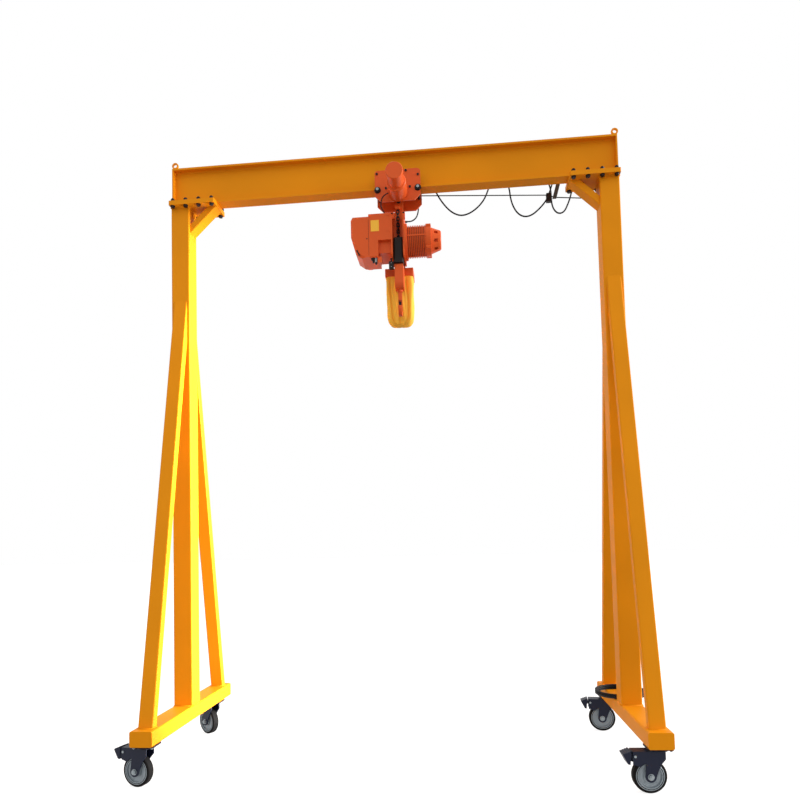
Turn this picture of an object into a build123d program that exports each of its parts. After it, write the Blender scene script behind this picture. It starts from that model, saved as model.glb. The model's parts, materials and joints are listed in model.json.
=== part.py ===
from build123d import *
import math
import os

os.makedirs("parts", exist_ok=True)

# Mobile portal gantry crane, millimetres. The origin lies on the floor, midway between the two legs and
# midway between their front and rear casters. +X runs along the beam, +Y to the back, +Z up.

# Driving sizes of the portal
leg_spacing = 3170
rail_length = 1400
rail_width = 150
rail_height = 100
rail_wall = 6
rail_corner = 12
rail_cap = 6
rail_bottom = 267
column_size = 140
column_wall = 6
column_corner = 10
beam_bottom = 4117
beam_height = 285
beam_flange_width = 100
beam_flange = 14
beam_web = 9
beam_root_fillet = 10
beam_end_plate = 10
head_plate_length = 350
head_plate_width = 230
head_plate = 16
head_plate_corner = 6
strut_width = 100
strut_depth = 60
strut_wall = 5
strut_corner = 8
strut_setback = 60
strut_top_drop = 725
brace_depth = 100
brace_thickness = 50
brace_wall = 5
brace_corner = 7
brace_drop = 195
brace_setback = 6
overrun = 40

# Driving sizes of one caster
wheel_radius = 100
wheel_width = 50
tyre_thickness = 25
tyre_shoulder = 9
rim_lip = 6
hub_radius = 37
hub_width = 60
wheel_web = 30
axle_radius = 7.5
axle_clearance = 0.08
axle_head_radius = 14
axle_head = 7
caster_trail = 60
caster_inset = 75
rear_left_caster_inset = 200
caster_plate_x = 150
caster_plate_y = 120
caster_plate = 8
caster_plate_corner = 10
race_radius = 50
race_height = 6
race_gap = 0.3
crown_radius = 54
crown_height = 5
yoke_thickness = 6
cheek_gap = 3
cheek_thickness = 6
leg_end_radius = 32
fork_nose = 30
nose_height = 45
shin_x = 2
shin_drop = 82
housing_length = 160
housing_height = 76
housing_arc_radius = 84
pedal_pin_radius = 5
pedal_pin_clearance = 0.08
pedal_pin_inset = 13
pedal_pin_drop = 28
pedal_side_gap = 5
pedal_end_gap = 8
pedal_rise = 2
pedal_reach = 219
pedal_tip_drop = 17
pedal_tip = 9
pedal_heel_x = 190
pedal_heel_drop = 73
pedal_heel = 14
pedal_arm = 10
pedal_rib_count = 4
pedal_rib = 3

# Directions in which the four wheels trail from their swivel axes, in degrees from +X
front_left_yaw = 167
rear_left_yaw = 146
front_right_yaw = 182
rear_right_yaw = 173

# Where the housing's arc over the wheel starts and ends, in degrees from +X
arc_from = 75
arc_to = 45

# Lifting eyes on the beam's ends
eye_outer_radius = 25
eye_bore_radius = 14
eye_thickness = 12
eye_rise = 48
eye_neck = 24

# Driving sizes of the trolley
trolley_x = 70
side_plate_length = 336
side_plate_height = 238
side_plate_drop = 110
side_plate = 10
side_plate_inner = 70
side_plate_top_corner = 25
side_plate_low_corner = 45
tie_rod_radius = 11
tie_rod_spacing = 296
tie_rod_drop = 20
tie_nut_across = 36
tie_nut = 14
tie_rod_stub = 7
tread_radius = 45
tread_inner = 20
tread_lift = 0.3
wheel_flange_radius = 55
wheel_flange_inner = 55
wheel_flange_outer = 64
trolley_wheelbase = 170
stub_axle_radius = 11
gearmotor_drop = 39
reducer_radius = 72
reducer_length = 140
reducer_edge = 16
gearmotor_radius = 61
gearmotor_length = 136
gearmotor_edge = 5
gearmotor_cap_step = 4
gearmotor_cap = 34
hanger_shaft_radius = 14
hanger_shaft_drop = 83
hanger_thickness = 36
hanger_width = 60
chain_anchor = 34

# Driving sizes of the hoist
hoist_axis_drop = 388
case_height = 323
case_rise = 181
case_depth = 220
frame_plate = 10
frame_plate_radius = 26
channel_width = 76
channel_x = 63
hub_housing_radius = 55
hub_housing_y = 53
gear_case_length = 163
gear_case_edge = 8
recess_length = 95
recess_depth = 30
recess_rise = 19
gear_case_foot = 37
control_length = 132
control_top_step = 12
control_corner = 14
control_shoulder = 24
control_waist_rise = 19
control_slant_x = 35
control_slant_drop = 110
control_foot_x = 78
control_bevel = 34
motor_core_radius = 104
motor_fin_radius = 113
motor_length = 155
motor_fin_count = 12
motor_fin = 5
motor_rib_count = 4
motor_rib = 8
end_flange = 37
end_flange_radius = 112
end_flange_ear_radius = 13
end_flange_ears = 4
fan_cover_length = 73
fan_cover_radius = 92
fan_cover_end_radius = 66
fan_cover_fillet = 14
fan_window_count = 8
fan_window_width = 26
fan_window_height = 22
fan_window_depth = 20
guide_width = 70
guide_front = 78
guide_back = 4
guide_rise = 8
guide_height = 184
guide_corner = 14
guide_slot = 30
guide_lug = 60

# Driving sizes of the load chain and the hook block
chain_wire = 8
chain_pitch = 24
chain_inner_width = 10
fall_y = 36
front_links = 18
rear_links = 6
chain_seat_gap = 0.3
block_width = 64
block_depth = 116
block_drop = 39
block_height = 175
block_cheek_radius = 22
hook_thickness = 26
hook_bowl_radius = 27
hook_outer_radius = 50
hook_offset = 4
hook_bowl_drop = 140
hook_throat_radius = 9
hook_throat_y = 10
hook_throat_rise = 42
hook_back = 38
hook_shank_radius = 13
hook_collar_radius = 20
hook_collar = 14
latch_thickness = 3
latch_width = 18
latch_gap = 0.3
latch_pin_radius = 4
latch_barrel_radius = 7
latch_lug = 6
latch_pin_clearance = 0.08

# Driving sizes of the chain bag and its frame
bag_width = 204
bag_depth = 140
bag_hang = 40
bag_height = 402
bag_y = 134
bag_x = 54
bag_corner = 30
bag_bottom_fillet = 26
bag_wall = 5
bag_seat_gap = 0.3
bag_frame_wall = 4
bag_frame_gap = 22
bag_frame_height = 58
bag_frame_corner = 6

# Driving sizes of the messenger wire, its hangers and the supply cable
wire_radius = 2.5
wire_y = 158
wire_pin_radius = 7
wire_bend = 60
wire_left_rise = 155
wire_clamp_drop = 18
wire_stay_drop = 41
wire_right_drop = 71
wire_clamp_x = 1172
wire_stay_x = 1245
wire_pin_inset = 45
post_width = 40
post_thickness = 8
post_y = 102
post_inset = 25
bar_width = 30
bar_thickness = 5
stay_lean = 96
cable_radius = 5
cable_y = 170
clip_width = 24
clip_height = 26
clip_depth = 18
saddle_radius = 21
clamp_width = 36
clamp_height = 52
riser_y = 78
riser_clip_width = 20
riser_clip_count = 5
riser_clip_pitch = 745
riser_clip_drop = 485
lead_radius = 3.5
bend_share = 0.45

# The coil of spare supply cable and its plug, on the right rail behind the column
coil_y = 259
coil_radius = 170
coil_width = 22
coil_height = 32
coil_corner = 9
plug_radius = 24
plug_length = 92
plug_neck = 30
plug_neck_radius = 11

# Places worked out from the driving sizes
leg_x = leg_spacing / 2
rail_top = rail_bottom + rail_height
column_half = column_size / 2
head_plate_low = beam_bottom - 2 * head_plate
beam_end = leg_x + column_half
beam_top = beam_bottom + beam_height
strut_top = head_plate_low - strut_top_drop
plate_bottom = rail_bottom - caster_plate
race_bottom = plate_bottom - race_height
crown_top = race_bottom - race_gap
yoke_top = crown_top - crown_height
yoke_bottom = yoke_top - yoke_thickness
pedal_pin_x = housing_length - pedal_pin_inset
pedal_pin_z = yoke_top - pedal_pin_drop
cheek_inner = hub_width / 2 + cheek_gap
cheek_outer = cheek_inner + cheek_thickness
side_plate_outer = side_plate_inner + side_plate
side_plate_bottom = beam_bottom - side_plate_drop
tie_rod_height = beam_bottom - tie_rod_drop
gearmotor_z = beam_bottom - gearmotor_drop
hanger_shaft_height = beam_bottom - hanger_shaft_drop
hoist_axis_z = beam_bottom - hoist_axis_drop
case_top = hoist_axis_z + case_rise
case_bottom = case_top - case_height
case_middle = (case_top + case_bottom) / 2
guide_top = hoist_axis_z + guide_rise
guide_bottom = guide_top - guide_height
block_top = case_bottom - block_drop
channel_low = channel_x - channel_width / 2
channel_high = channel_x + channel_width / 2
block_bottom = block_top - block_height
hook_bowl_z = block_bottom - hook_bowl_drop
bag_frame_top = case_bottom - bag_frame_gap
bag_top = case_bottom - bag_hang
bag_bottom = bag_top - bag_height
rear_fall_top = (hoist_axis_z - math.sqrt(hub_housing_radius ** 2 - (hub_housing_y - fall_y) ** 2)
                 - chain_seat_gap)
chain_low = rear_fall_top - rear_links * chain_pitch - 2 * chain_wire
front_fall_top = chain_low + front_links * chain_pitch + 2 * chain_wire
chain_anchor_height = front_fall_top + chain_seat_gap


def save(shape, name):
    export_step(shape, "parts/" + name + ".step")


def box_between(low, high):
    centre = [(a + b) / 2 for a, b in zip(low, high)]
    return Pos(*centre) * Box(*[b - a for a, b in zip(low, high)])


def cylinder_along_y(radius, x, z, y_from, y_to):
    middle = Location((x, (y_from + y_to) / 2, z), (90, 0, 0))
    return middle * Cylinder(radius, abs(y_to - y_from))


def cylinder_along_x(radius, y, z, x_from, x_to):
    middle = Location(((x_from + x_to) / 2, y, z), (0, 90, 0))
    return middle * Cylinder(radius, abs(x_to - x_from))


def hollow_section(width, depth, wall, corner):
    outer = RectangleRounded(width, depth, corner)
    inner = RectangleRounded(width - 2 * wall, depth - 2 * wall, corner - wall / 2)
    return outer - inner


def side_profile(points, y_from, y_to):
    # A closed outline in the x-z plane, given thickness between two places across it
    face = make_face(Polyline([(x, y_from, z) for x, z in points], close=True))
    return extrude(face, amount=y_to - y_from, dir=(0, 1, 0))


# Portal: beam, end plates with lifting eyes, legs, rails
def main_beam():
    flange_centre = (beam_height - beam_flange) / 2
    section = Rectangle(beam_web, beam_height)
    for side in (-1, 1):
        section += Pos(0, side * flange_centre) * Rectangle(beam_flange_width, beam_flange)
    roots = [v for v in section.vertices()
             if abs(v.X) < beam_web and abs(v.Y) < beam_height / 2 - beam_flange / 2]
    section = fillet(roots, beam_root_fillet)
    length = 2 * (beam_end - beam_end_plate)
    plane = Plane(origin=(-length / 2, 0, beam_bottom + beam_height / 2), x_dir=(0, 1, 0), z_dir=(1, 0, 0))
    return extrude(plane * section, amount=length)


def beam_end_plate_with_eye(side):
    inner = side * (beam_end - beam_end_plate)
    outer = side * beam_end
    half = beam_flange_width / 2
    plate = box_between((min(inner, outer), -half, beam_bottom), (max(inner, outer), half, beam_top))
    x = (inner + outer) / 2
    eye_z = beam_top + eye_rise
    thick = eye_thickness / 2
    eye = cylinder_along_y(eye_outer_radius, x, eye_z, -thick, thick)
    eye += box_between((x - eye_neck / 2, -thick, beam_top), (x + eye_neck / 2, thick, eye_z))
    bore = cylinder_along_y(eye_bore_radius, x, eye_z, -thick - overrun, thick + overrun)
    return plate + eye - bore


def column(side):
    height = head_plate_low - rail_top
    section = hollow_section(column_size, column_size, column_wall, column_corner)
    return Pos(side * leg_x, 0, rail_top) * extrude(section, amount=height)


def strut(side, end):
    # end is -1 for the front strut and +1 for the rear one
    foot_y = rail_length / 2 - strut_setback
    run = foot_y - column_half
    rise = strut_top - rail_top
    slope = math.hypot(run, rise)
    along = (0, -end * run / slope, rise / slope)
    plane = Plane(origin=(side * leg_x, end * foot_y, rail_top), x_dir=(1, 0, 0), z_dir=along)
    section = hollow_section(strut_width, strut_depth, strut_wall, strut_corner)
    centred = plane * Pos(0, -end * strut_depth / 2) * section
    bar = extrude(centred, amount=slope + overrun) + extrude(centred, amount=-strut_depth)
    reach = rail_length
    x_low, x_high = side * leg_x - strut_width, side * leg_x + strut_width
    below = box_between((x_low, -reach, 0), (x_high, reach, rail_top))
    y_near, y_far = sorted((end * column_half, -end * reach))
    behind = box_between((x_low, y_near, 0), (x_high, y_far, beam_top))
    return bar - below - behind


def base_rail(side):
    section = hollow_section(rail_width, rail_height, rail_wall, rail_corner)
    length = rail_length - 2 * rail_cap
    plane = Plane(origin=(side * leg_x, -length / 2, rail_bottom + rail_height / 2),
                  x_dir=(1, 0, 0), z_dir=(0, 1, 0))
    return extrude(plane * section, amount=length)


def rail_end_cap(side, end):
    plane = Plane(origin=(side * leg_x, end * rail_length / 2, rail_bottom + rail_height / 2),
                  x_dir=(1, 0, 0), z_dir=(0, -end, 0))
    cap = extrude(plane * RectangleRounded(rail_width, rail_height, rail_corner), amount=rail_cap)
    face = cap.faces().sort_by(Axis.Y)[0 if end < 0 else -1]
    return fillet(face.edges(), rail_cap / 3)


def head_plate_at(side, bottom):
    inner = beam_end - head_plate_length
    centre = side * (beam_end + inner) / 2
    outline = RectangleRounded(head_plate_length, head_plate_width, head_plate_corner)
    plate = extrude(outline, amount=head_plate)
    return Pos(centre, 0, bottom) * plate


def knee_brace(side):
    run = head_plate_length - column_size - brace_setback
    slope = math.hypot(run, brace_drop)
    foot_x = leg_x - column_half
    along = (-run / slope, 0, brace_drop / slope)
    plane = Plane(origin=(foot_x, 0, head_plate_low - brace_drop), x_dir=(0, 1, 0), z_dir=along)
    section = hollow_section(brace_depth, brace_thickness, brace_wall, brace_corner)
    up = Vector(brace_drop / slope, 0, run / slope)
    sign = 1 if plane.y_dir.dot(up) > 0 else -1
    centred = plane * Pos(0, sign * brace_thickness / 2) * section
    bar = extrude(centred, amount=slope + overrun) + extrude(centred, amount=-2 * brace_thickness)
    inside = box_between((foot_x, -brace_depth, beam_bottom - 2 * slope),
                         (foot_x + column_size, brace_depth, beam_top))
    above = box_between((foot_x - 2 * run, -brace_depth, head_plate_low), (foot_x, brace_depth, beam_top))
    bar = bar - inside - above
    return bar if side > 0 else mirror(bar, about=Plane.YZ)


# Casters, drawn with the swivel axis at x = y = 0 and the wheel trailing along +x
def swivel_place(side, end):
    inset = rear_left_caster_inset if (side < 0 and end > 0) else caster_inset
    return end * (rail_length / 2 - inset)


def caster_top_plate():
    plate = Pos(0, 0, plate_bottom) * extrude(
        RectangleRounded(caster_plate_x, caster_plate_y, caster_plate_corner), amount=caster_plate)
    return plate + Pos(0, 0, race_bottom + race_height / 2) * Cylinder(race_radius, race_height)


def caster_fork():
    # Each cheek is a nose, a leg down to the axle and a housing that arches over the wheel's disc
    arc_steps = 4
    arc = []
    for k in range(arc_steps + 1):
        angle = math.radians(arc_from + (arc_to - arc_from) * k / arc_steps)
        arc.append((caster_trail + housing_arc_radius * math.cos(angle),
                    wheel_radius + housing_arc_radius * math.sin(angle)))
    cheek = [(-fork_nose, yoke_top), (-fork_nose, yoke_top - nose_height), (shin_x, yoke_top - shin_drop),
             (caster_trail - leg_end_radius, wheel_radius), (caster_trail + leg_end_radius, wheel_radius)]
    cheek += arc + [(housing_length, yoke_top - housing_height), (housing_length, yoke_top)]
    fork = Pos(0, 0, crown_top - crown_height / 2) * Cylinder(crown_radius, crown_height)
    for side in (-1, 1):
        near, far = sorted((side * cheek_inner, side * cheek_outer))
        fork += side_profile(cheek, near, far)
        fork += cylinder_along_y(leg_end_radius, caster_trail, wheel_radius, near, far)
        fork += cylinder_along_y(axle_head_radius, caster_trail, wheel_radius, side * cheek_outer,
                                 side * (cheek_outer + axle_head))
    fork += box_between((-fork_nose, -cheek_outer, yoke_bottom), (housing_length, cheek_outer, yoke_top))
    fork += cylinder_along_y(axle_radius, caster_trail, wheel_radius, -cheek_inner, cheek_inner)
    return fork + cylinder_along_y(pedal_pin_radius, pedal_pin_x, pedal_pin_z, -cheek_inner, cheek_inner)


def brake_pedal():
    half = cheek_inner - pedal_side_gap
    boss = 2 * pedal_pin_radius
    start = housing_length + pedal_end_gap
    top, tip = yoke_top + pedal_rise, yoke_top - pedal_tip_drop
    heel = yoke_top - pedal_heel_drop
    pedal = box_between((pedal_pin_x, -half, pedal_pin_z - boss),
                        (start + pedal_arm, half, pedal_pin_z + boss))
    pedal += cylinder_along_y(boss, pedal_pin_x, pedal_pin_z, -half, half)
    pedal += side_profile([(start, top), (pedal_reach, tip), (pedal_reach - pedal_tip / 2, tip - pedal_tip),
                           (pedal_heel_x, heel), (pedal_heel_x - pedal_heel, heel - pedal_heel / 4)],
                          -cheek_outer, cheek_outer)
    run, drop = pedal_reach - start, tip - top
    for k in range(pedal_rib_count):
        share = (k + 0.5) / pedal_rib_count
        pedal += cylinder_along_y(pedal_rib, start + run * share, top + drop * share,
                                  -cheek_outer, cheek_outer)
    bore = pedal_pin_radius + pedal_pin_clearance
    return pedal - cylinder_along_y(bore, pedal_pin_x, pedal_pin_z, -half, half)


def wheel_core():
    rim_outer = wheel_radius - tyre_thickness
    half = wheel_width / 2
    core = cylinder_along_y(rim_outer, caster_trail, wheel_radius, -half, half)
    for side in (-1, 1):
        core -= cylinder_along_y(rim_outer - rim_lip, caster_trail, wheel_radius,
                                 side * wheel_web / 2, side * (half + overrun))
    core += cylinder_along_y(hub_radius, caster_trail, wheel_radius, -hub_width / 2, hub_width / 2)
    return core - cylinder_along_y(axle_radius + axle_clearance, caster_trail, wheel_radius,
                                   -hub_width, hub_width)


def wheel_tyre():
    half = wheel_width / 2
    tyre = cylinder_along_y(wheel_radius, caster_trail, wheel_radius, -half, half)
    tyre = fillet(tyre.edges(), tyre_shoulder)
    return tyre - cylinder_along_y(wheel_radius - tyre_thickness, caster_trail, wheel_radius,
                                   -wheel_width, wheel_width)


# Trolley on the beam's lower flange
def trolley_side_plate(side):
    x_low = trolley_x - side_plate_length / 2
    near, far = sorted((side * side_plate_inner, side * side_plate_outer))
    plate = box_between((x_low, near, side_plate_bottom),
                        (x_low + side_plate_length, far, side_plate_bottom + side_plate_height))
    corners = plate.edges().filter_by(Axis.Y).group_by(Axis.Z)
    plate = fillet(corners[-1], side_plate_top_corner)
    corners = plate.edges().filter_by(Axis.Y).group_by(Axis.Z)
    plate = chamfer(corners[0], side_plate_low_corner)
    for place in (-1, 1):
        plate -= cylinder_along_y(tie_rod_radius, trolley_x + place * tie_rod_spacing / 2, tie_rod_height,
                                  near - overrun, far + overrun)
    return plate - cylinder_along_y(hanger_shaft_radius, trolley_x, hanger_shaft_height,
                                    near - overrun, far + overrun)


def tie_rod(place):
    x = trolley_x + place * tie_rod_spacing / 2
    reach = side_plate_outer + tie_nut + tie_rod_stub
    rod = cylinder_along_y(tie_rod_radius, x, tie_rod_height, -reach, reach)
    for side in (-1, 1):
        start = side * side_plate_outer
        plane = Plane(origin=(x, start, tie_rod_height), x_dir=(1, 0, 0), z_dir=(0, side, 0))
        rod += extrude(plane * RegularPolygon(tie_nut_across / 2, 6, major_radius=False), amount=tie_nut)
    return rod


def trolley_wheel(place, side):
    x = trolley_x + place * trolley_wheelbase / 2
    z = beam_bottom + beam_flange + tread_radius + tread_lift
    wheel = cylinder_along_y(tread_radius, x, z, side * tread_inner, side * wheel_flange_inner)
    wheel += cylinder_along_y(wheel_flange_radius, x, z, side * wheel_flange_inner,
                              side * wheel_flange_outer)
    return wheel + cylinder_along_y(stub_axle_radius, x, z, side * wheel_flange_outer,
                                    side * side_plate_inner)


def trolley_gearmotor():
    start = -side_plate_outer
    reducer = cylinder_along_y(reducer_radius, trolley_x, gearmotor_z, start, start - reducer_length)
    reducer = fillet(reducer.edges().filter_by(GeomType.CIRCLE).group_by(Axis.Y)[0], reducer_edge)
    body_start = start - reducer_length
    cap_start = body_start - gearmotor_length + gearmotor_cap
    body_radius = gearmotor_radius - gearmotor_cap_step
    body = cylinder_along_y(body_radius, trolley_x, gearmotor_z, body_start, cap_start)
    cap = cylinder_along_y(gearmotor_radius, trolley_x, gearmotor_z, cap_start, cap_start - gearmotor_cap)
    cap = fillet(cap.edges().filter_by(GeomType.CIRCLE).group_by(Axis.Y)[0], gearmotor_edge)
    return reducer + body + cap


def hanger():
    half = hanger_thickness / 2
    wide = hanger_width / 2
    strap = box_between((trolley_x - wide, -half, case_top), (trolley_x + wide, half, hanger_shaft_height))
    strap += cylinder_along_y(wide, trolley_x, hanger_shaft_height, -half, half)
    strap += box_between((channel_x - chain_anchor / 2, -half - chain_anchor, chain_anchor_height),
                         (channel_x + chain_anchor / 2, -half, chain_anchor_height + half))
    return strap - cylinder_along_y(hanger_shaft_radius, trolley_x, hanger_shaft_height,
                                    -hanger_width, hanger_width)


def hanger_shaft():
    return cylinder_along_y(hanger_shaft_radius, trolley_x, hanger_shaft_height, -side_plate_outer,
                            side_plate_outer + tie_rod_stub)


# Hoist: gear case, control cover, chain channel, motor
def hoist_frame():
    frame = None
    for x in (channel_low - frame_plate, channel_high):
        plane = Plane(origin=(x, 0, case_middle), x_dir=(0, 1, 0), z_dir=(1, 0, 0))
        outline = plane * RectangleRounded(case_depth, case_height, frame_plate_radius)
        plate = extrude(outline, amount=frame_plate)
        frame = plate if frame is None else frame + plate
    frame += cylinder_along_x(hub_housing_radius, hub_housing_y, hoist_axis_z, channel_low, channel_high)
    frame += box_between((channel_low, -hanger_thickness / 2, case_top - frame_plate),
                         (channel_high, case_depth / 2 - frame_plate_radius, case_top))
    back = bag_y - bag_depth / 2
    return frame + box_between((channel_low, back, bag_frame_top),
                               (channel_high, back + frame_plate, hoist_axis_z))


def gear_case():
    end = channel_low - frame_plate
    start = end - gear_case_length
    half = case_depth / 2
    case = box_between((start, -half, case_bottom), (end, half, case_top))
    case = fillet(case.edges().filter_by(Axis.X), gear_case_edge)
    case -= box_between((end - recess_length, -half - overrun, case_bottom - overrun),
                        (end + overrun, -half + recess_depth, hoist_axis_z - recess_rise))
    return case - box_between((end - recess_length, -half - overrun, case_bottom - overrun),
                              (end + overrun, half + overrun, case_bottom + gear_case_foot))


def control_cover():
    end = channel_low - frame_plate - gear_case_length
    start = end - control_length
    top = case_top - control_top_step
    slant = hoist_axis_z - control_slant_drop
    outline = [(end, case_bottom), (end, top), (start + control_corner, top),
               (start, top - control_shoulder), (start, hoist_axis_z + control_waist_rise),
               (start + control_slant_x, slant), (start + control_foot_x, case_bottom)]
    half = case_depth / 2
    cover = side_profile(outline, -half, half)
    ends = [edge for edge in cover.edges()
            if edge.center().X < start + control_foot_x and abs(edge.center().Y) > half / 2]
    return chamfer(ends, control_bevel / 2)


def motor_housing():
    start = channel_high + frame_plate
    body = cylinder_along_x(motor_core_radius, 0, hoist_axis_z, start, start + motor_length)
    pitch = motor_length / motor_fin_count
    for k in range(motor_fin_count):
        x = start + pitch * (k + 0.5)
        body += cylinder_along_x(motor_fin_radius, 0, hoist_axis_z, x - motor_fin / 2, x + motor_fin / 2)
    end = start + motor_length
    body += cylinder_along_x(end_flange_radius, 0, hoist_axis_z, end, end + end_flange)
    for k in range(end_flange_ears):
        angle = 2 * math.pi * (k + 0.5) / end_flange_ears
        body += cylinder_along_x(end_flange_ear_radius, end_flange_radius * math.cos(angle),
                                 hoist_axis_z + end_flange_radius * math.sin(angle), end, end + end_flange)
    for k in range(motor_rib_count):
        rib = Pos(start + motor_length / 2, 0, hoist_axis_z) * Rot(360 * k / motor_rib_count, 0, 0)
        rib_depth = 2 * (motor_fin_radius - motor_core_radius)
        body += rib * Pos(0, 0, motor_core_radius) * Box(motor_length, motor_rib, rib_depth)
    return body


def fan_cover():
    start = channel_high + frame_plate + motor_length + end_flange
    plane = Plane(origin=(start, 0, hoist_axis_z), x_dir=(0, 1, 0), z_dir=(1, 0, 0))
    far_plane = plane.offset(fan_cover_length)
    cover = loft([plane * Circle(fan_cover_radius), far_plane * Circle(fan_cover_end_radius)])
    cover = fillet(cover.edges().group_by(Axis.X)[-1], fan_cover_fillet)
    circle = (fan_cover_radius + fan_cover_end_radius) / 2
    for k in range(fan_window_count):
        window = Box(fan_window_width, fan_window_height, 2 * fan_window_depth)
        angle = 360 * (k + 0.5) / fan_window_count
        turn = Location((start + fan_cover_length / 2, 0, hoist_axis_z), (angle, 0, 0))
        cover -= turn * Pos(0, 0, circle) * window
    return cover


def chain_guide():
    half = guide_width / 2
    guide = box_between((channel_x - half, -guide_front, guide_bottom),
                        (channel_x + half, -guide_back, guide_top))
    front = guide.edges().filter_by(Axis.Z).group_by(Axis.Y)[0]
    guide = fillet(front, guide_corner)
    slot = guide_slot / 2
    guide += box_between((channel_low, -guide_front + guide_corner, case_bottom),
                         (channel_high, -guide_back - guide_corner, case_bottom + guide_lug))
    return guide - box_between((channel_x - slot, -fall_y - slot, guide_bottom - overrun),
                               (channel_x + slot, -fall_y + slot, guide_top + overrun))


# Load chain: round-wire links, each turned a quarter from the last
def chain_link(z, y, turned):
    centre = chain_inner_width / 2 + chain_wire / 2
    straight = chain_pitch - 2 * (centre - chain_wire / 2)
    wire = chain_wire / 2
    side = Pos(centre, 0, 0) * Cylinder(wire, straight)
    link = side + mirror(side, about=Plane.YZ)
    ring = Torus(centre, wire)
    upright = Rot(90, 0, 0) * ring
    reach = 2 * chain_pitch
    top = Pos(0, 0, straight / 2) * (upright & (Pos(0, 0, reach / 2) * Box(reach, reach, reach)))
    link += top + mirror(top, about=Plane.XY)
    spin = 90 if turned else 0
    return Location((channel_x, y, z), (0, 0, spin)) * link


def chain_fall(y, z_top, count):
    first = z_top - chain_wire - chain_pitch / 2
    return [chain_link(first - chain_pitch * k, y, k % 2 == 1) for k in range(count)]


# Hook block, hook and latch
latch_pivot_y = -hook_shank_radius - latch_thickness
latch_pivot_z = hook_bowl_z + 2 * hook_bowl_radius


def hook_block():
    half = block_width / 2
    body = box_between((channel_x - half, -block_depth / 2, block_bottom),
                       (channel_x + half, block_depth / 2, block_top))
    lower = body.edges().filter_by(Axis.X).group_by(Axis.Z)[0]
    body = fillet(lower, 2 * block_cheek_radius)
    pocket = guide_slot / 2
    for y in (-fall_y, fall_y):
        body -= box_between((channel_x - pocket, y - pocket, chain_low - chain_seat_gap),
                            (channel_x + pocket, y + pocket, block_top + overrun))
    return body


def hook():
    shank_top = block_bottom - latch_gap
    neck = hook_shank_radius
    bowl = hook_bowl_radius
    plane = Plane(origin=(channel_x - hook_thickness / 2, 0, hook_bowl_z), x_dir=(0, 1, 0), z_dir=(1, 0, 0))
    neck_top = shank_top - hook_collar - hook_bowl_z
    outline = Pos(hook_offset, -hook_offset) * Circle(hook_outer_radius)
    outline += Pos(0, neck_top / 2) * Rectangle(2 * neck, neck_top)
    outline += Polygon((0, neck_top), (neck, neck_top), (hook_back, hook_throat_rise),
                       (hook_outer_radius, hook_offset), (bowl, 0), (0, bowl), align=None)
    outline -= Circle(bowl)
    throat = Pos(-hook_throat_y, hook_throat_rise) * Circle(hook_throat_radius)
    outline -= throat
    left, right = -hook_throat_y - hook_throat_radius, -hook_throat_y + hook_throat_radius
    outline -= Polygon((left, hook_throat_rise), (right, hook_throat_rise), (bowl, 0), (-bowl, 0), align=None)
    outline -= Polygon((-neck, neck), ((left - neck) / 2, hook_throat_rise), (-2 * hook_outer_radius, 3 * bowl),
                       (-2 * hook_outer_radius, neck), align=None)
    body = extrude(plane * outline, amount=hook_thickness, dir=(1, 0, 0))
    body += Pos(channel_x, 0, shank_top - hook_collar / 2) * Cylinder(hook_collar_radius, hook_collar)
    lug = latch_lug / 2
    clear = latch_barrel_radius + latch_gap
    for side in (-1, 1):
        near, far = sorted((channel_x + side * lug, channel_x + side * hook_thickness))
        body -= box_between((near, latch_pivot_y - clear, latch_pivot_z - clear),
                            (far, latch_pivot_y + clear, latch_pivot_z + clear))
    body += cylinder_along_x(latch_barrel_radius, latch_pivot_y, latch_pivot_z,
                             channel_x - lug, channel_x + lug)
    return body + cylinder_along_x(latch_pin_radius, latch_pivot_y, latch_pivot_z,
                                   channel_x - latch_width / 2, channel_x + latch_width / 2)


def hook_latch():
    tip_z = hook_bowl_z + hook_shank_radius / 2
    tip_y = -math.sqrt(hook_bowl_radius ** 2 - hook_shank_radius ** 2) + 2 * latch_gap
    half = latch_width / 2
    plane = Plane(origin=(channel_x - half, 0, 0), x_dir=(0, 1, 0), z_dir=(1, 0, 0))
    blade = Polygon((latch_pivot_y - latch_thickness / 2, latch_pivot_z),
                    (latch_pivot_y + latch_thickness / 2, latch_pivot_z),
                    (tip_y + latch_thickness, tip_z), (tip_y, tip_z), align=None)
    latch = extrude(plane * blade, amount=latch_width, dir=(1, 0, 0))
    latch += cylinder_along_x(latch_barrel_radius, latch_pivot_y, latch_pivot_z,
                              channel_x - half, channel_x + half)
    reach = latch_lug / 2 + latch_gap
    latch -= cylinder_along_x(latch_barrel_radius + latch_gap, latch_pivot_y, latch_pivot_z,
                              channel_x - reach, channel_x + reach)
    return latch - cylinder_along_x(latch_pin_radius + latch_pin_clearance, latch_pivot_y, latch_pivot_z,
                                    channel_x - latch_width, channel_x + latch_width)


# Chain bag and its frame
def chain_bag():
    half_w, half_d = bag_width / 2, bag_depth / 2
    bag = box_between((bag_x - half_w, bag_y - half_d, bag_bottom), (bag_x + half_w, bag_y + half_d, bag_top))
    bag = fillet(bag.edges().filter_by(Axis.Z), bag_corner)
    bag = fillet(bag.faces().sort_by(Axis.Z)[0].edges(), bag_bottom_fillet)
    half_w, half_d = half_w - bag_wall, half_d - bag_wall
    inside = box_between((bag_x - half_w, bag_y - half_d, bag_bottom + bag_wall),
                         (bag_x + half_w, bag_y + half_d, bag_top + overrun))
    inside = fillet(inside.edges().filter_by(Axis.Z), bag_corner - bag_wall)
    inside = fillet(inside.faces().sort_by(Axis.Z)[0].edges(), bag_bottom_fillet - bag_wall)
    return bag - inside


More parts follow.
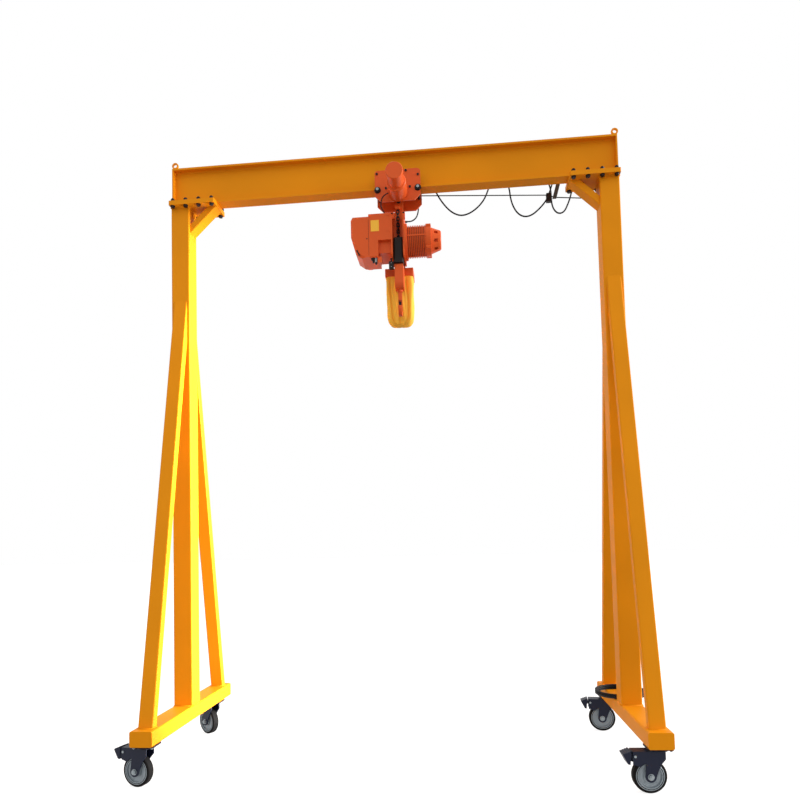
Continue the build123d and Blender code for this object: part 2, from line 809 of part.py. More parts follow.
def bag_frame():
    gap = bag_seat_gap
    low = bag_frame_top - bag_frame_height
    width, depth = bag_width + 2 * gap, bag_depth + 2 * gap
    inner = RectangleRounded(width, depth, bag_corner + gap)
    outer = RectangleRounded(width + 2 * bag_frame_wall, depth + 2 * bag_frame_wall, bag_frame_corner)
    return Pos(bag_x, bag_y, low) * extrude(outer - inner, amount=bag_frame_height)


# Cords: straight runs joined by tangent arcs, each arc as large as its two runs allow
def cord_path(points):
    places = [Vector(*point) for point in points]
    radii = []
    for before, corner, after in zip(places, places[1:], places[2:]):
        half_turn = math.radians((corner - before).get_angle(after - corner)) / 2
        shorter = min((corner - before).length, (after - corner).length)
        radii.append(bend_share * shorter / math.tan(half_turn))
    print("bend radii", [round(radius) for radius in radii])
    return FilletPolyline(*places, radius=radii)


def cord(points, radius):
    path = cord_path(points)
    tube = sweep((path ^ 0) * Circle(radius), path=path)
    print("volume over section times length", round(tube.volume / (math.pi * radius ** 2 * path.length), 4))
    return tube


# The supply cable: three hanging loops, then down the right column's back and into the coil
first_loop = [
    (318, 170, 4248), (334, 170, 4212), (353, 170, 4172), (380, 170, 4122), (419, 170, 4066),
    (468, 170, 4017), (530, 170, 3990), (597, 170, 4005), (661, 170, 4049), (709, 170, 4105),
    (738, 170, 4170), (757, 170, 4227), (790, 170, 4258)]
second_loop = [
    (835, 170, 4264), (872, 170, 4244), (893, 170, 4202), (902, 170, 4162), (906, 170, 4107),
    (922, 170, 4040), (956, 170, 3978), (1007, 170, 3947), (1066, 170, 3959), (1132, 170, 4015),
    (1180, 170, 4074), (1205, 168, 4142)]
over_saddle = [
    (1222, 166, 4192), (1240, 166, 4227), (1236, 167, 4257), (1208, 170, 4272), (1184, 173, 4252),
    (1186, 176, 4222), (1200, 178, 4190)]
third_loop = [
    (1211, 178, 4143), (1211, 176, 4065), (1217, 174, 4018), (1231, 172, 3984), (1252, 170, 3961),
    (1280, 170, 3957), (1306, 170, 3974), (1324, 170, 4008), (1347, 170, 4063), (1364, 170, 4124),
    (1385, 170, 4182), (1403, 170, 4222)]
down_the_column = [
    (1440, 169, 4240), (1484, 166, 4230), (1524, 160, 4196), (1556, 152, 4148), (1580, 144, 4090),
    (1598, 134, 4030), (1614, 118, 3966), (1628, 100, 3904), (1638, 86, 3838), (1645, 79, 3764),
    (1646, 78, 3640), (1646, 78, 600), (1648, 80, 528), (1656, 87, 468), (1672, 100, 424), (1696, 121, 396)]
supply_route = first_loop + second_loop + over_saddle + third_loop + down_the_column
tail_route = [(1560, 108, 372), (1600, 113, 372), (1632, 142, 372), (1640, 184, 372), (1637, 226, 372)]
travel_motor_lead_route = [
    (8, -112, 4054), (-18, -112, 4046), (-40, -110, 4026), (-52, -106, 3996), (-54, -100, 3964),
    (-42, -92, 3936), (-22, -86, 3906)]
hoist_lead_route = [
    (206, 76, 4060), (208, 94, 4054), (209, 106, 4036), (206, 110, 4010), (194, 104, 3978), (170, 92, 3954),
    (142, 76, 3938), (116, 56, 3928), (106, 44, 3908)]


def between(first, second):
    return tuple((a + b) / 2 for a, b in zip(first, second))


# Where the cable is held: three clips, and a saddle in the middle of the turn that goes round it
cable_clip_places = [first_loop[0], between(first_loop[-1], second_loop[0]), third_loop[-1]]
saddle_place = between(between(over_saddle[1], over_saddle[5]), between(over_saddle[2], over_saddle[4]))

# The taut messenger wire, from the post on the left leg to the pin on the right column
wire_start = (head_plate_length - beam_end - post_inset, wire_y, beam_bottom + wire_left_rise)
wire_clamp = (wire_clamp_x, wire_y, beam_bottom - wire_clamp_drop)
wire_stay = (wire_stay_x, wire_y, beam_bottom - wire_stay_drop)
wire_end = (leg_x - wire_pin_inset, wire_y, beam_bottom - wire_right_drop)


def messenger_wire():
    places = [Vector(*place) for place in (wire_start, wire_clamp, wire_stay, wire_end)]
    path = FilletPolyline(*places, radius=wire_bend)
    return sweep((path ^ 0) * Circle(wire_radius), path=path)


def bar_hanger(x_top, x_low, y, z_low):
    # A flat bar that is bent over the beam's top flange and hangs behind it
    half = bar_width / 2
    top = beam_top + bar_thickness
    arm = box_between((x_top - half, 0, beam_top), (x_top + half, y + bar_thickness, top))
    face = make_face(Polyline([(x_top - half, y, top), (x_top + half, y, top), (x_low + half, y, z_low),
                               (x_low - half, y, z_low)], close=True))
    return arm + extrude(face, amount=bar_thickness, dir=(0, 1, 0))


def wire_brackets():
    low = wire_start[0] - post_width / 2
    far = wire_y + 2 * wire_pin_radius
    post = box_between((low, post_y, beam_bottom),
                       (low + post_width, post_y + post_thickness, wire_start[2] + post_width / 2))
    post += cylinder_along_y(wire_pin_radius, wire_start[0], wire_start[2], post_y, far)
    pin = cylinder_along_y(wire_pin_radius, wire_end[0], wire_end[2], column_half, far)
    bars = [bar_hanger(x, x, cable_y + clip_depth / 2, z - clip_height / 2) for x, _, z in cable_clip_places]
    x, z = saddle_place[0], saddle_place[2]
    bars.append(bar_hanger(x, x, cable_y + clip_depth, z - saddle_radius))
    bars.append(bar_hanger(wire_stay[0] + stay_lean - bar_width / 2, wire_stay[0] - bar_width / 2,
                           wire_y - wire_radius - bar_thickness, wire_stay[2] - clip_width / 2))
    return Compound([post, pin] + bars)


def cable_clips():
    depth = clip_depth / 2
    clips = []
    for x, y, z in cable_clip_places:
        clips.append(box_between((x - clip_width / 2, y - depth, z - clip_height / 2),
                                 (x + clip_width / 2, y + depth, z + clip_height / 2)))
    x, z = saddle_place[0], saddle_place[2]
    clips.append(cylinder_along_y(saddle_radius, x, z, wire_y, cable_y + clip_depth))
    clips.append(box_between((wire_clamp[0], wire_y - depth, wire_clamp[2] - clamp_height),
                             (wire_clamp[0] + clamp_width, cable_y + depth, wire_clamp[2] + clip_width / 2)))
    outer = leg_x + column_half - column_corner / 4
    for k in range(riser_clip_count):
        z = head_plate_low - riser_clip_drop - k * riser_clip_pitch
        clips.append(box_between((outer - riser_clip_width, column_half, z - riser_clip_width / 2),
                                 (outer, riser_y + riser_clip_width / 2, z + riser_clip_width / 2)))
    return Compound(clips)


def supply_coil():
    section = Pos(coil_radius, coil_height / 2) * RectangleRounded(coil_width, coil_height, coil_corner)
    return Pos(leg_x, coil_y, rail_top) * revolve(Plane.XZ * section, axis=Axis.Z)


def supply_plug():
    x, y = tail_route[-1][0], tail_route[-1][1]
    neck = cylinder_along_y(plug_neck_radius, x, rail_top + plug_neck_radius, y, y + plug_neck)
    body = cylinder_along_y(plug_radius, x, rail_top + plug_radius, y + plug_neck,
                            y + plug_neck + plug_length)
    body = chamfer(body.edges().filter_by(GeomType.CIRCLE), plug_radius / 6)
    return neck + body


def build_cables():
    save(messenger_wire(), "messenger_wire")
    save(wire_brackets(), "wire_brackets")
    save(cable_clips(), "cable_clips")
    save(cord(supply_route, cable_radius), "supply_cable")
    save(supply_coil(), "supply_coil")
    save(cord(tail_route, cable_radius), "plug_tail")
    save(supply_plug(), "supply_plug")
    leads = [cord(travel_motor_lead_route, lead_radius), cord(hoist_lead_route, lead_radius)]
    save(Compound(leads), "trolley_leads")


def build_portal():
    save(main_beam(), "main_beam")
    save(Compound([beam_end_plate_with_eye(side) for side in (-1, 1)]), "beam_end_plates")
    save(Compound([head_plate_at(side, beam_bottom - head_plate) for side in (-1, 1)]), "beam_seat_plates")
    save(Compound([rail_end_cap(side, end) for side in (-1, 1) for end in (-1, 1)]), "rail_end_caps")
    save(Compound([head_plate_at(side, head_plate_low) for side in (-1, 1)]), "leg_head_plates")
    save(Compound([knee_brace(side) for side in (-1, 1)]), "knee_braces")
    for name, side in (("left", -1), ("right", 1)):
        save(column(side), name + "_column")
        save(base_rail(side), name + "_base_rail")
        save(strut(side, -1), name + "_front_strut")
        save(strut(side, 1), name + "_rear_strut")


def build_casters():
    places = (("front_left", -1, -1, front_left_yaw), ("rear_left", -1, 1, rear_left_yaw),
              ("front_right", 1, -1, front_right_yaw), ("rear_right", 1, 1, rear_right_yaw))
    plates = [Pos(side * leg_x, swivel_place(side, end), 0) * caster_top_plate()
              for _, side, end, _ in places]
    save(Compound(plates), "caster_top_plates")
    fork, core, tyre, pedal = caster_fork(), wheel_core(), wheel_tyre(), brake_pedal()
    for name, side, end, yaw in places:
        place = Location((side * leg_x, swivel_place(side, end), 0), (0, 0, yaw))
        save(place * fork, name + "_fork")
        save(place * core, name + "_wheel")
        save(place * tyre, name + "_tyre")
        save(place * pedal, name + "_brake_pedal")


def build_trolley():
    save(trolley_side_plate(-1), "trolley_front_plate")
    save(trolley_side_plate(1), "trolley_rear_plate")
    save(Compound([tie_rod(place) for place in (-1, 1)] + [hanger_shaft()]), "trolley_tie_rods")
    save(Compound([trolley_wheel(place, side) for place in (-1, 1) for side in (-1, 1)]), "trolley_wheels")
    save(trolley_gearmotor(), "trolley_gearmotor")
    save(hanger(), "hoist_hanger")


def build_hoist():
    save(hoist_frame(), "hoist_frame")
    save(gear_case(), "gear_case")
    save(control_cover(), "control_cover")
    save(motor_housing(), "hoist_motor")
    save(fan_cover(), "fan_cover")
    save(chain_guide(), "chain_guide")
    links = chain_fall(-fall_y, front_fall_top, front_links)
    links += chain_fall(fall_y, rear_fall_top, rear_links)
    save(Compound(links), "load_chain")
    save(hook_block(), "hook_block")
    save(hook(), "hook")
    save(hook_latch(), "hook_latch")
    save(chain_bag(), "chain_bag")
    save(bag_frame(), "bag_frame")


build_portal()
build_casters()
build_trolley()
build_hoist()
build_cables()
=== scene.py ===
import json
import math

import bmesh
import bpy
from mathutils import Matrix, Vector

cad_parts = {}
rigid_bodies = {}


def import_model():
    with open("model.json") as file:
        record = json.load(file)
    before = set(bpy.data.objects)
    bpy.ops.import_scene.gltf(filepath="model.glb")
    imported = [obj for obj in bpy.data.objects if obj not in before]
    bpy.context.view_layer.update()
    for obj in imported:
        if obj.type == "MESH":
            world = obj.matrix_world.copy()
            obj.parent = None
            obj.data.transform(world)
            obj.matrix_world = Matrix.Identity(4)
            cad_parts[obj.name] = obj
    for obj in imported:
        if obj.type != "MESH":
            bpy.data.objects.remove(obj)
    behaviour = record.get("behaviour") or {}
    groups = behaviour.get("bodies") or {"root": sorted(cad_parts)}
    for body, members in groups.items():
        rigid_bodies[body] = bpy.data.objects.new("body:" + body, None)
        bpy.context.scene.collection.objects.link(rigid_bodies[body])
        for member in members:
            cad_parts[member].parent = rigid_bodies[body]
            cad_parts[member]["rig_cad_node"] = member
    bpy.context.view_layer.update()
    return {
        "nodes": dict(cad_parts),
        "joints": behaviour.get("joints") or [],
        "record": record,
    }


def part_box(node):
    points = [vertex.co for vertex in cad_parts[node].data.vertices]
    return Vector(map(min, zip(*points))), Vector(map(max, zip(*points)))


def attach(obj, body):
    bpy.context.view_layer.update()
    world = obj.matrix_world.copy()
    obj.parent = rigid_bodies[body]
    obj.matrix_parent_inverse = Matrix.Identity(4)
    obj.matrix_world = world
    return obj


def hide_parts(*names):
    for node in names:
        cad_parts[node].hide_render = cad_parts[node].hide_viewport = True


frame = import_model()

# Camera, as fitted to the photograph's edges
FOCAL_PIXELS = 641.86
IMAGE_PIXELS = 800
CENTRE_DOWN_PIXELS = 508.6
SENSOR_MM = 36
FARTHEST_SEEN = 200
YAW, PITCH, ROLL = (math.radians(a) for a in (5.1445, 3.0214, -1.3992))
EYE = Vector((0.4399, -4.6318, 1.51404))

scene = bpy.context.scene
right = Vector((math.cos(YAW), math.sin(YAW), 0))
forward = Vector((-math.sin(YAW), math.cos(YAW), 0))
upward = Vector((0, 0, 1))
look = forward * math.cos(PITCH) + upward * math.sin(PITCH)
top = upward * math.cos(PITCH) - forward * math.sin(PITCH)
cam_x = right * math.cos(ROLL) + top * math.sin(ROLL)
cam_y = top * math.cos(ROLL) - right * math.sin(ROLL)
cam_data = bpy.data.cameras.new("camera")
cam_data.sensor_width = SENSOR_MM
cam_data.lens = FOCAL_PIXELS / IMAGE_PIXELS * SENSOR_MM
cam_data.shift_y = (CENTRE_DOWN_PIXELS - IMAGE_PIXELS / 2) / IMAGE_PIXELS
cam_data.clip_end = FARTHEST_SEEN
camera = bpy.data.objects.new("camera", cam_data)
scene.collection.objects.link(camera)
camera_turn = Matrix((cam_x, cam_y, -look)).transposed()
camera.matrix_world = Matrix.Translation(EYE) @ camera_turn.to_4x4()
scene.camera = camera
scene.view_settings.view_transform = "Standard"

# Materials: paint with a faint uneven gloss, rubber, steel and woven cloth
RELIEF_DEPTH = 0.002
CLOUD_SCALE = 1.7
CLOUD_EDGES = (0.3, 0.7)
LOOKS = {
    "frame_paint": dict(colour=(0.76, 0.262, 0.005), roughness=0.48, specular=0.06, bump=0.05, mottle=0.06),
    "hoist_paint": dict(colour=(0.70, 0.10, 0.018), roughness=0.38, specular=0.16, bump=0.06, mottle=0.05),
    "dark_steel": dict(colour=(0.014, 0.009, 0.008), roughness=0.5, specular=0.2),
    "caster_steel": dict(colour=(0.008, 0.011, 0.028), roughness=0.4, specular=0.2),
    "wheel_metal": dict(colour=(0.28, 0.32, 0.35), metallic=0.35, roughness=0.32, specular=0.45),
    "tyre_rubber": dict(colour=(0.010, 0.009, 0.009), roughness=0.7, specular=0.07, bump=0.2, grain=140.0),
    "bright_steel": dict(colour=(0.30, 0.34, 0.36), metallic=0.5, roughness=0.35, specular=0.5),
    "bracket_grey": dict(colour=(0.075, 0.085, 0.085), roughness=0.6, specular=0.2),
    "bag_fabric": dict(colour=(0.96, 0.51, 0.06), roughness=0.7, specular=0.1, bump=0.35, grain=420.0,
                       mottle=0.08),
    "cable_rubber": dict(colour=(0.008, 0.008, 0.009), roughness=0.55, specular=0.2),
}


def principled(name, colour, metallic=0.0, roughness=0.5, specular=0.3, bump=0.0, grain=60.0, mottle=0.0):
    mat = bpy.data.materials.new(name)
    mat.use_nodes = True
    tree = mat.node_tree
    shader = tree.nodes["Principled BSDF"]
    shader.inputs["Base Color"].default_value = (*colour, 1)
    shader.inputs["Metallic"].default_value = metallic
    shader.inputs["Roughness"].default_value = roughness
    shader.inputs["Specular IOR Level"].default_value = specular
    place = tree.nodes.new("ShaderNodeTexCoord")
    if bump:
        noise = tree.nodes.new("ShaderNodeTexNoise")
        noise.inputs["Scale"].default_value = grain
        tree.links.new(place.outputs["Object"], noise.inputs["Vector"])
        relief = tree.nodes.new("ShaderNodeBump")
        relief.inputs["Strength"].default_value = bump
        relief.inputs["Distance"].default_value = RELIEF_DEPTH
        tree.links.new(noise.outputs["Fac"], relief.inputs["Height"])
        tree.links.new(relief.outputs["Normal"], shader.inputs["Normal"])
    if mottle:
        cloud = tree.nodes.new("ShaderNodeTexNoise")
        cloud.inputs["Scale"].default_value = CLOUD_SCALE
        tree.links.new(place.outputs["Object"], cloud.inputs["Vector"])
        ramp = tree.nodes.new("ShaderNodeValToRGB")
        for stop, edge, share in zip(ramp.color_ramp.elements, CLOUD_EDGES, (1 - mottle, 1 + mottle)):
            stop.position = edge
            stop.color = (*[c * share for c in colour], 1)
        tree.links.new(cloud.outputs["Fac"], ramp.inputs["Fac"])
        tree.links.new(ramp.outputs["Color"], shader.inputs["Base Color"])
    return mat


MATERIALS = {name: principled(name, **settings) for name, settings in LOOKS.items()}
SLOT_OF = {s["node"]: s["material_slot"] for s in frame["record"]["subparts"]}
JOINTS = {j["name"]: j for j in frame["joints"]}


def clothe(obj, slot):
    obj.data.materials.clear()
    obj.data.materials.append(MATERIALS[slot])


for obj in list(scene.objects):
    if "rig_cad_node" in obj:
        clothe(obj, SLOT_OF[obj["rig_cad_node"]])
clothe(frame["nodes"]["wire_brackets"], "bracket_grey")


def place_piece(obj, slot, body):
    scene.collection.objects.link(obj)
    clothe(obj, slot)
    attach(obj, body)
    return obj


# The messenger wire as it is, in its black sheath
SHEATH_THICKNESS = 0.0013


def sheathed_wire():
    wire = frame["nodes"]["messenger_wire"]
    piece = bpy.data.objects.new("sheathed_wire", wire.data.copy())
    piece.matrix_world = wire.matrix_world.copy()
    sheath = piece.modifiers.new("sheath", "SOLIDIFY")
    sheath.thickness = SHEATH_THICKNESS
    sheath.offset = 1
    place_piece(piece, "cable_rubber", "portal")
    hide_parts("messenger_wire")


sheathed_wire()

# The cords: the same routes as in the CAD, in metres
CABLE_DIAMETER = 0.0115
MOTOR_LEAD_DIAMETER = 0.008
HOIST_LEAD_DIAMETER = 0.010
COIL_CENTRE = Vector((1.585, 0.259, 0.367))
COIL_RADIUS = 0.170
COIL_TURNS = 6
COIL_START, COIL_END = math.radians(-51), math.radians(-99)
POINTS_PER_TURN = 14
TURN_INSETS = (0.0059, -0.0059, -0.0059, 0.0059, 0.0059, -0.0059, -0.015)
TURN_HEIGHTS = (0.0292, 0.0292, 0.0175, 0.0175, 0.0058, 0.0058, 0.0058)
# Each turn keeps its place over the first share of its run and steps to the next one's over the rest
KEEP_SHARE, STEP_SHARE = 0.7, 0.3
ALMOST_A_TURN = 0.001
SUPPLY_ROUTE = [
    (0.318, 0.170, 4.248), (0.334, 0.170, 4.212), (0.353, 0.170, 4.172), (0.380, 0.170, 4.122),
    (0.419, 0.170, 4.066), (0.468, 0.170, 4.017), (0.530, 0.170, 3.990), (0.597, 0.170, 4.005),
    (0.661, 0.170, 4.049), (0.709, 0.170, 4.105), (0.738, 0.170, 4.170), (0.757, 0.170, 4.227),
    (0.790, 0.170, 4.258), (0.835, 0.170, 4.264), (0.872, 0.170, 4.244), (0.893, 0.170, 4.202),
    (0.902, 0.170, 4.162), (0.906, 0.170, 4.107), (0.922, 0.170, 4.040), (0.956, 0.170, 3.978),
    (1.007, 0.170, 3.947), (1.066, 0.170, 3.959), (1.132, 0.170, 4.015), (1.180, 0.170, 4.074),
    (1.205, 0.168, 4.142), (1.222, 0.166, 4.192), (1.240, 0.166, 4.227), (1.236, 0.167, 4.257),
    (1.208, 0.170, 4.272), (1.184, 0.173, 4.252), (1.186, 0.176, 4.222), (1.200, 0.178, 4.190),
    (1.211, 0.178, 4.143), (1.211, 0.176, 4.065), (1.217, 0.174, 4.018), (1.231, 0.172, 3.984),
    (1.252, 0.170, 3.961), (1.280, 0.170, 3.957), (1.306, 0.170, 3.974), (1.324, 0.170, 4.008),
    (1.347, 0.170, 4.063), (1.364, 0.170, 4.124), (1.385, 0.170, 4.182), (1.403, 0.170, 4.222),
    (1.440, 0.169, 4.240), (1.484, 0.166, 4.230), (1.524, 0.160, 4.196), (1.556, 0.152, 4.148),
    (1.580, 0.144, 4.090), (1.598, 0.134, 4.030), (1.614, 0.118, 3.966), (1.628, 0.100, 3.904),
    (1.638, 0.086, 3.838), (1.645, 0.079, 3.764), (1.646, 0.078, 3.640), (1.646, 0.078, 0.600),
    (1.648, 0.080, 0.528), (1.656, 0.087, 0.468), (1.672, 0.100, 0.424)]
TAIL_ROUTE = [
    (1.560, 0.108, 0.372), (1.600, 0.113, 0.372), (1.632, 0.142, 0.372), (1.640, 0.184, 0.372),
    (1.637, 0.226, 0.372)]
TRAVEL_MOTOR_LEAD = [
    (0.008, -0.112, 4.054), (-0.018, -0.112, 4.046), (-0.040, -0.110, 4.026), (-0.052, -0.106, 3.996),
    (-0.054, -0.100, 3.964), (-0.042, -0.092, 3.936), (-0.022, -0.086, 3.906)]
HOIST_LEAD = [
    (0.206, 0.076, 4.060), (0.208, 0.094, 4.054), (0.209, 0.106, 4.036), (0.206, 0.110, 4.010),
    (0.195, 0.104, 3.972), (0.173, 0.092, 3.943), (0.146, 0.076, 3.925), (0.119, 0.056, 3.918),
    (0.106, 0.044, 3.908)]


def coil_points():
    # Turns beside and under each other, starting where the cable comes down and ending low on the
    # inside, where the tail leaves
    sweep = 2 * math.pi * COIL_TURNS + COIL_END - COIL_START
    count = COIL_TURNS * POINTS_PER_TURN
    points = []
    for k in range(count + 1):
        turns = min(k / POINTS_PER_TURN, COIL_TURNS - ALMOST_A_TURN)
        here = int(turns)
        blend = max(0.0, (turns - here - KEEP_SHARE) / STEP_SHARE)
        radius = COIL_RADIUS + TURN_INSETS[here] * (1 - blend) + TURN_INSETS[here + 1] * blend
        height = TURN_HEIGHTS[here] * (1 - blend) + TURN_HEIGHTS[here + 1] * blend
        angle = COIL_START + sweep * k / count
        points.append(COIL_CENTRE + Vector((radius * math.cos(angle), radius * math.sin(angle), height)))
    return points


def cord_curve(name, points, diameter, slot, body):
    curve = bpy.data.curves.new(name, "CURVE")
    curve.dimensions = "3D"
    spline = curve.splines.new("NURBS")
    spline.points.add(len(points) - 1)
    for point, place in zip(spline.points, points):
        point.co = (*place, 1)
    spline.order_u = 3
    spline.use_endpoint_u = True
    spline.resolution_u = 6
    curve.bevel_depth = diameter / 2
    curve.bevel_resolution = 3
    curve.use_fill_caps = True
    return place_piece(bpy.data.objects.new(name, curve), slot, body)


def lay_cord(name, points, diameter, body, nodes):
    piece = cord_curve(name, points, diameter, "cable_rubber", body)
    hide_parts(*nodes)


whole_route = [Vector(p) for p in SUPPLY_ROUTE] + coil_points() + [Vector(p) for p in TAIL_ROUTE]
lay_cord("supply_cord", whole_route, CABLE_DIAMETER, "portal",
         ["supply_cable", "supply_coil", "plug_tail"])
lay_cord("travel_motor_lead", TRAVEL_MOTOR_LEAD, MOTOR_LEAD_DIAMETER, "trolley",
         ["trolley_leads"])
lay_cord("hoist_lead", HOIST_LEAD, HOIST_LEAD_DIAMETER, "trolley", ["trolley_leads"])

# Small hardware. Shapes sink this far into the face that they stand on
SUNK = 0.001
UP, DOWN = (0, 0, 1), (0, 0, -1)
FRONTWARD = (0, -1, 0)
ALONG_BEAM = (1, 0, 0)


def mesh_piece(name, bm, slot, body, smooth=False):
    mesh = bpy.data.meshes.new(name)
    bm.normal_update()
    bm.to_mesh(mesh)
    bm.free()
    for face in mesh.polygons:
        face.use_smooth = smooth
    return place_piece(bpy.data.objects.new(name, mesh), slot, body)


def close_solid(bm, foot, head):
    # The faces of a solid between two rings of as many points
    bm.faces.new(list(reversed(foot)))
    bm.faces.new(head)
    for k in range(len(foot)):
        after = (k + 1) % len(foot)
        bm.faces.new((foot[k], foot[after], head[after], head[k]))


def add_prism(bm, centre, axis, radius, height, sides=6, spin=0.0, top_share=1.0):
    # A prism or cylinder whose foot lies at centre and whose length runs along axis
    turn = Vector(axis).normalized().to_track_quat("Z", "Y").to_matrix()
    rings = []
    for level, share in ((0.0, 1.0), (height, top_share)):
        ring = []
        for k in range(sides):
            angle = spin + 2 * math.pi * k / sides
            local = Vector((radius * share * math.cos(angle), radius * share * math.sin(angle), level))
            ring.append(bm.verts.new(Vector(centre) + turn @ local))
        rings.append(ring)
    close_solid(bm, *rings)


def add_box(bm, low, high):
    xs, ys, zs = zip(low, high)
    v = [bm.verts.new((x, y, z)) for x in xs for y in ys for z in zs]
    for face in ((0, 1, 3, 2), (4, 6, 7, 5), (0, 4, 5, 1), (2, 3, 7, 6), (0, 2, 6, 4), (1, 5, 7, 3)):
        bm.faces.new([v[i] for i in face])


def add_plate(bm, corners, face, thickness):
    # A thin plate on a front face, its corners given as (x, z) anticlockwise from the front
    rings = [[bm.verts.new((x, y, z)) for x, z in corners] for y in (face + SUNK, face - thickness)]
    close_solid(bm, *rings)


def add_bead(bm, start, end, radius, sides=8):
    run = Vector(end) - Vector(start)
    add_prism(bm, start, run, radius, run.length, sides)


def sweep_ring(bm, centre, axis, radius, section, sides):
    # A ring round axis, its section given as (outward from radius, along axis)
    turn = Vector(axis).normalized().to_track_quat("Z", "Y").to_matrix()
    rings = []
    for k in range(sides):
        angle = 2 * math.pi * k / sides
        rings.append([bm.verts.new(Vector(centre) + turn @ Vector(
            ((radius + across) * math.cos(angle), (radius + across) * math.sin(angle), rise)))
            for across, rise in section])
    for k in range(sides):
        here, after = rings[k], rings[(k + 1) % sides]
        for j in range(len(section)):
            i = (j + 1) % len(section)
            bm.faces.new((here[j], after[j], after[i], here[i]))


def add_rib(bm, centre, axis, radius, half_width, lift):
    # A ring of half-round section that lies on a flat face and stands out along axis
    shoulder = (half_width * 0.5, lift * 0.85)
    section = [(-half_width, -SUNK), (-half_width, 0.0), (-shoulder[0], shoulder[1]), (0.0, lift), shoulder,
               (half_width, 0.0), (half_width, -SUNK)]
    sweep_ring(bm, centre, axis, radius, section, 64)


def add_band(bm, centre, axis, radius, half_length):
    # A flat band round a cylinder of this radius
    section = [(-SUNK, -half_length), (0.0, -half_length), (0.0, half_length), (-SUNK, half_length)]
    sweep_ring(bm, centre, axis, radius, section, 72)


BOLT_PLACES = (1.63, 1.53, 1.43, 1.33)
BOLT_Y = 0.095
BOLT_RADIUS = 0.009
THREAD_LEFT_OVER = 0.007
NUT_RADIUS = 0.0155
NUT_HEIGHT = 0.014
HEAD_HEIGHT = 0.011
WASHER_RADIUS = 0.0170
WASHER_HEIGHT = 0.003


def head_plate_bolts():
    # Nuts above the beam's seat and bolt heads under the legs' head plates, each turned its own way
    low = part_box("leg_head_plates")[0][2]
    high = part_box("beam_seat_plates")[1][2]
    for side, name in ((-1, "left_bolts"), (1, "right_bolts")):
        bm = bmesh.new()
        for x in BOLT_PLACES:
            for y in (-BOLT_Y, BOLT_Y):
                spin = 0.4 * x * 10 + y
                on_washer = (side * x, y, high + WASHER_HEIGHT)
                add_prism(bm, (side * x, y, high), UP, WASHER_RADIUS, WASHER_HEIGHT, 20)
                add_prism(bm, on_washer, UP, NUT_RADIUS, NUT_HEIGHT, 6, spin)
                add_prism(bm, on_washer, UP, BOLT_RADIUS, NUT_HEIGHT + THREAD_LEFT_OVER, 14)
                add_prism(bm, (side * x, y, low), DOWN, WASHER_RADIUS, WASHER_HEIGHT, 20)
                add_prism(bm, (side * x, y, low - WASHER_HEIGHT), DOWN, NUT_RADIUS, HEAD_HEIGHT, 6, spin)
        mesh_piece(name, bm, "dark_steel", "portal")


head_plate_bolts()

CASTERS = ("front_left", "rear_left", "front_right", "rear_right")
CASTER_PLATE = 0.008
CASTER_BOLT_X, CASTER_BOLT_Y = 0.06, 0.045
CASTER_NUT_RADIUS, CASTER_NUT_HEIGHT = 0.0095, 0.006
CASTER_BOLT_RADIUS, CASTER_BOLT_LENGTH = 0.0045, 0.009


def caster_bolts():
    # The bolts under the casters' top plates, zinc on the front left caster and black on the others
    plates_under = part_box("caster_top_plates")[1][2] - CASTER_PLATE
    bright, dark = bmesh.new(), bmesh.new()
    for name in CASTERS:
        bm = bright if name == "front_left" else dark
        centre = Vector(JOINTS[name + "_turn"]["pos_m"])
        for dx in (-CASTER_BOLT_X, CASTER_BOLT_X):
            for dy in (-CASTER_BOLT_Y, CASTER_BOLT_Y):
                foot = (centre.x + dx, centre.y + dy, plates_under)
                add_prism(bm, foot, DOWN, CASTER_NUT_RADIUS, CASTER_NUT_HEIGHT, 6, dx * 9)
                add_prism(bm, foot, DOWN, CASTER_BOLT_RADIUS, CASTER_BOLT_LENGTH, 12)
    mesh_piece("caster_bolts_zinc", bright, "bright_steel", "portal")
    mesh_piece("caster_bolts_black", dark, "dark_steel", "portal")


caster_bolts()

FORK_HALF_WIDTH = 0.039
AXLE_WASHER_RADIUS, AXLE_WASHER_HEIGHT = 0.019, 0.0025
AXLE_NUT_RADIUS, AXLE_NUT_HEIGHT = 0.0150, 0.010
PIN_RADIUS, PIN_HEIGHT = 0.0075, 0.005
WEB_FACE, SIDE_FACE = 0.0152, 0.0252
RIB_LIFT = 0.0016
# Radius, half width and the face that each turned ring of a wheel stands on
WHEEL_RIBS = ((0.0445, 0.0022, WEB_FACE), (0.0535, 0.0022, WEB_FACE), (0.0625, 0.0022, WEB_FACE),
              (0.0715, 0.0018, SIDE_FACE), (0.0815, 0.0022, SIDE_FACE))


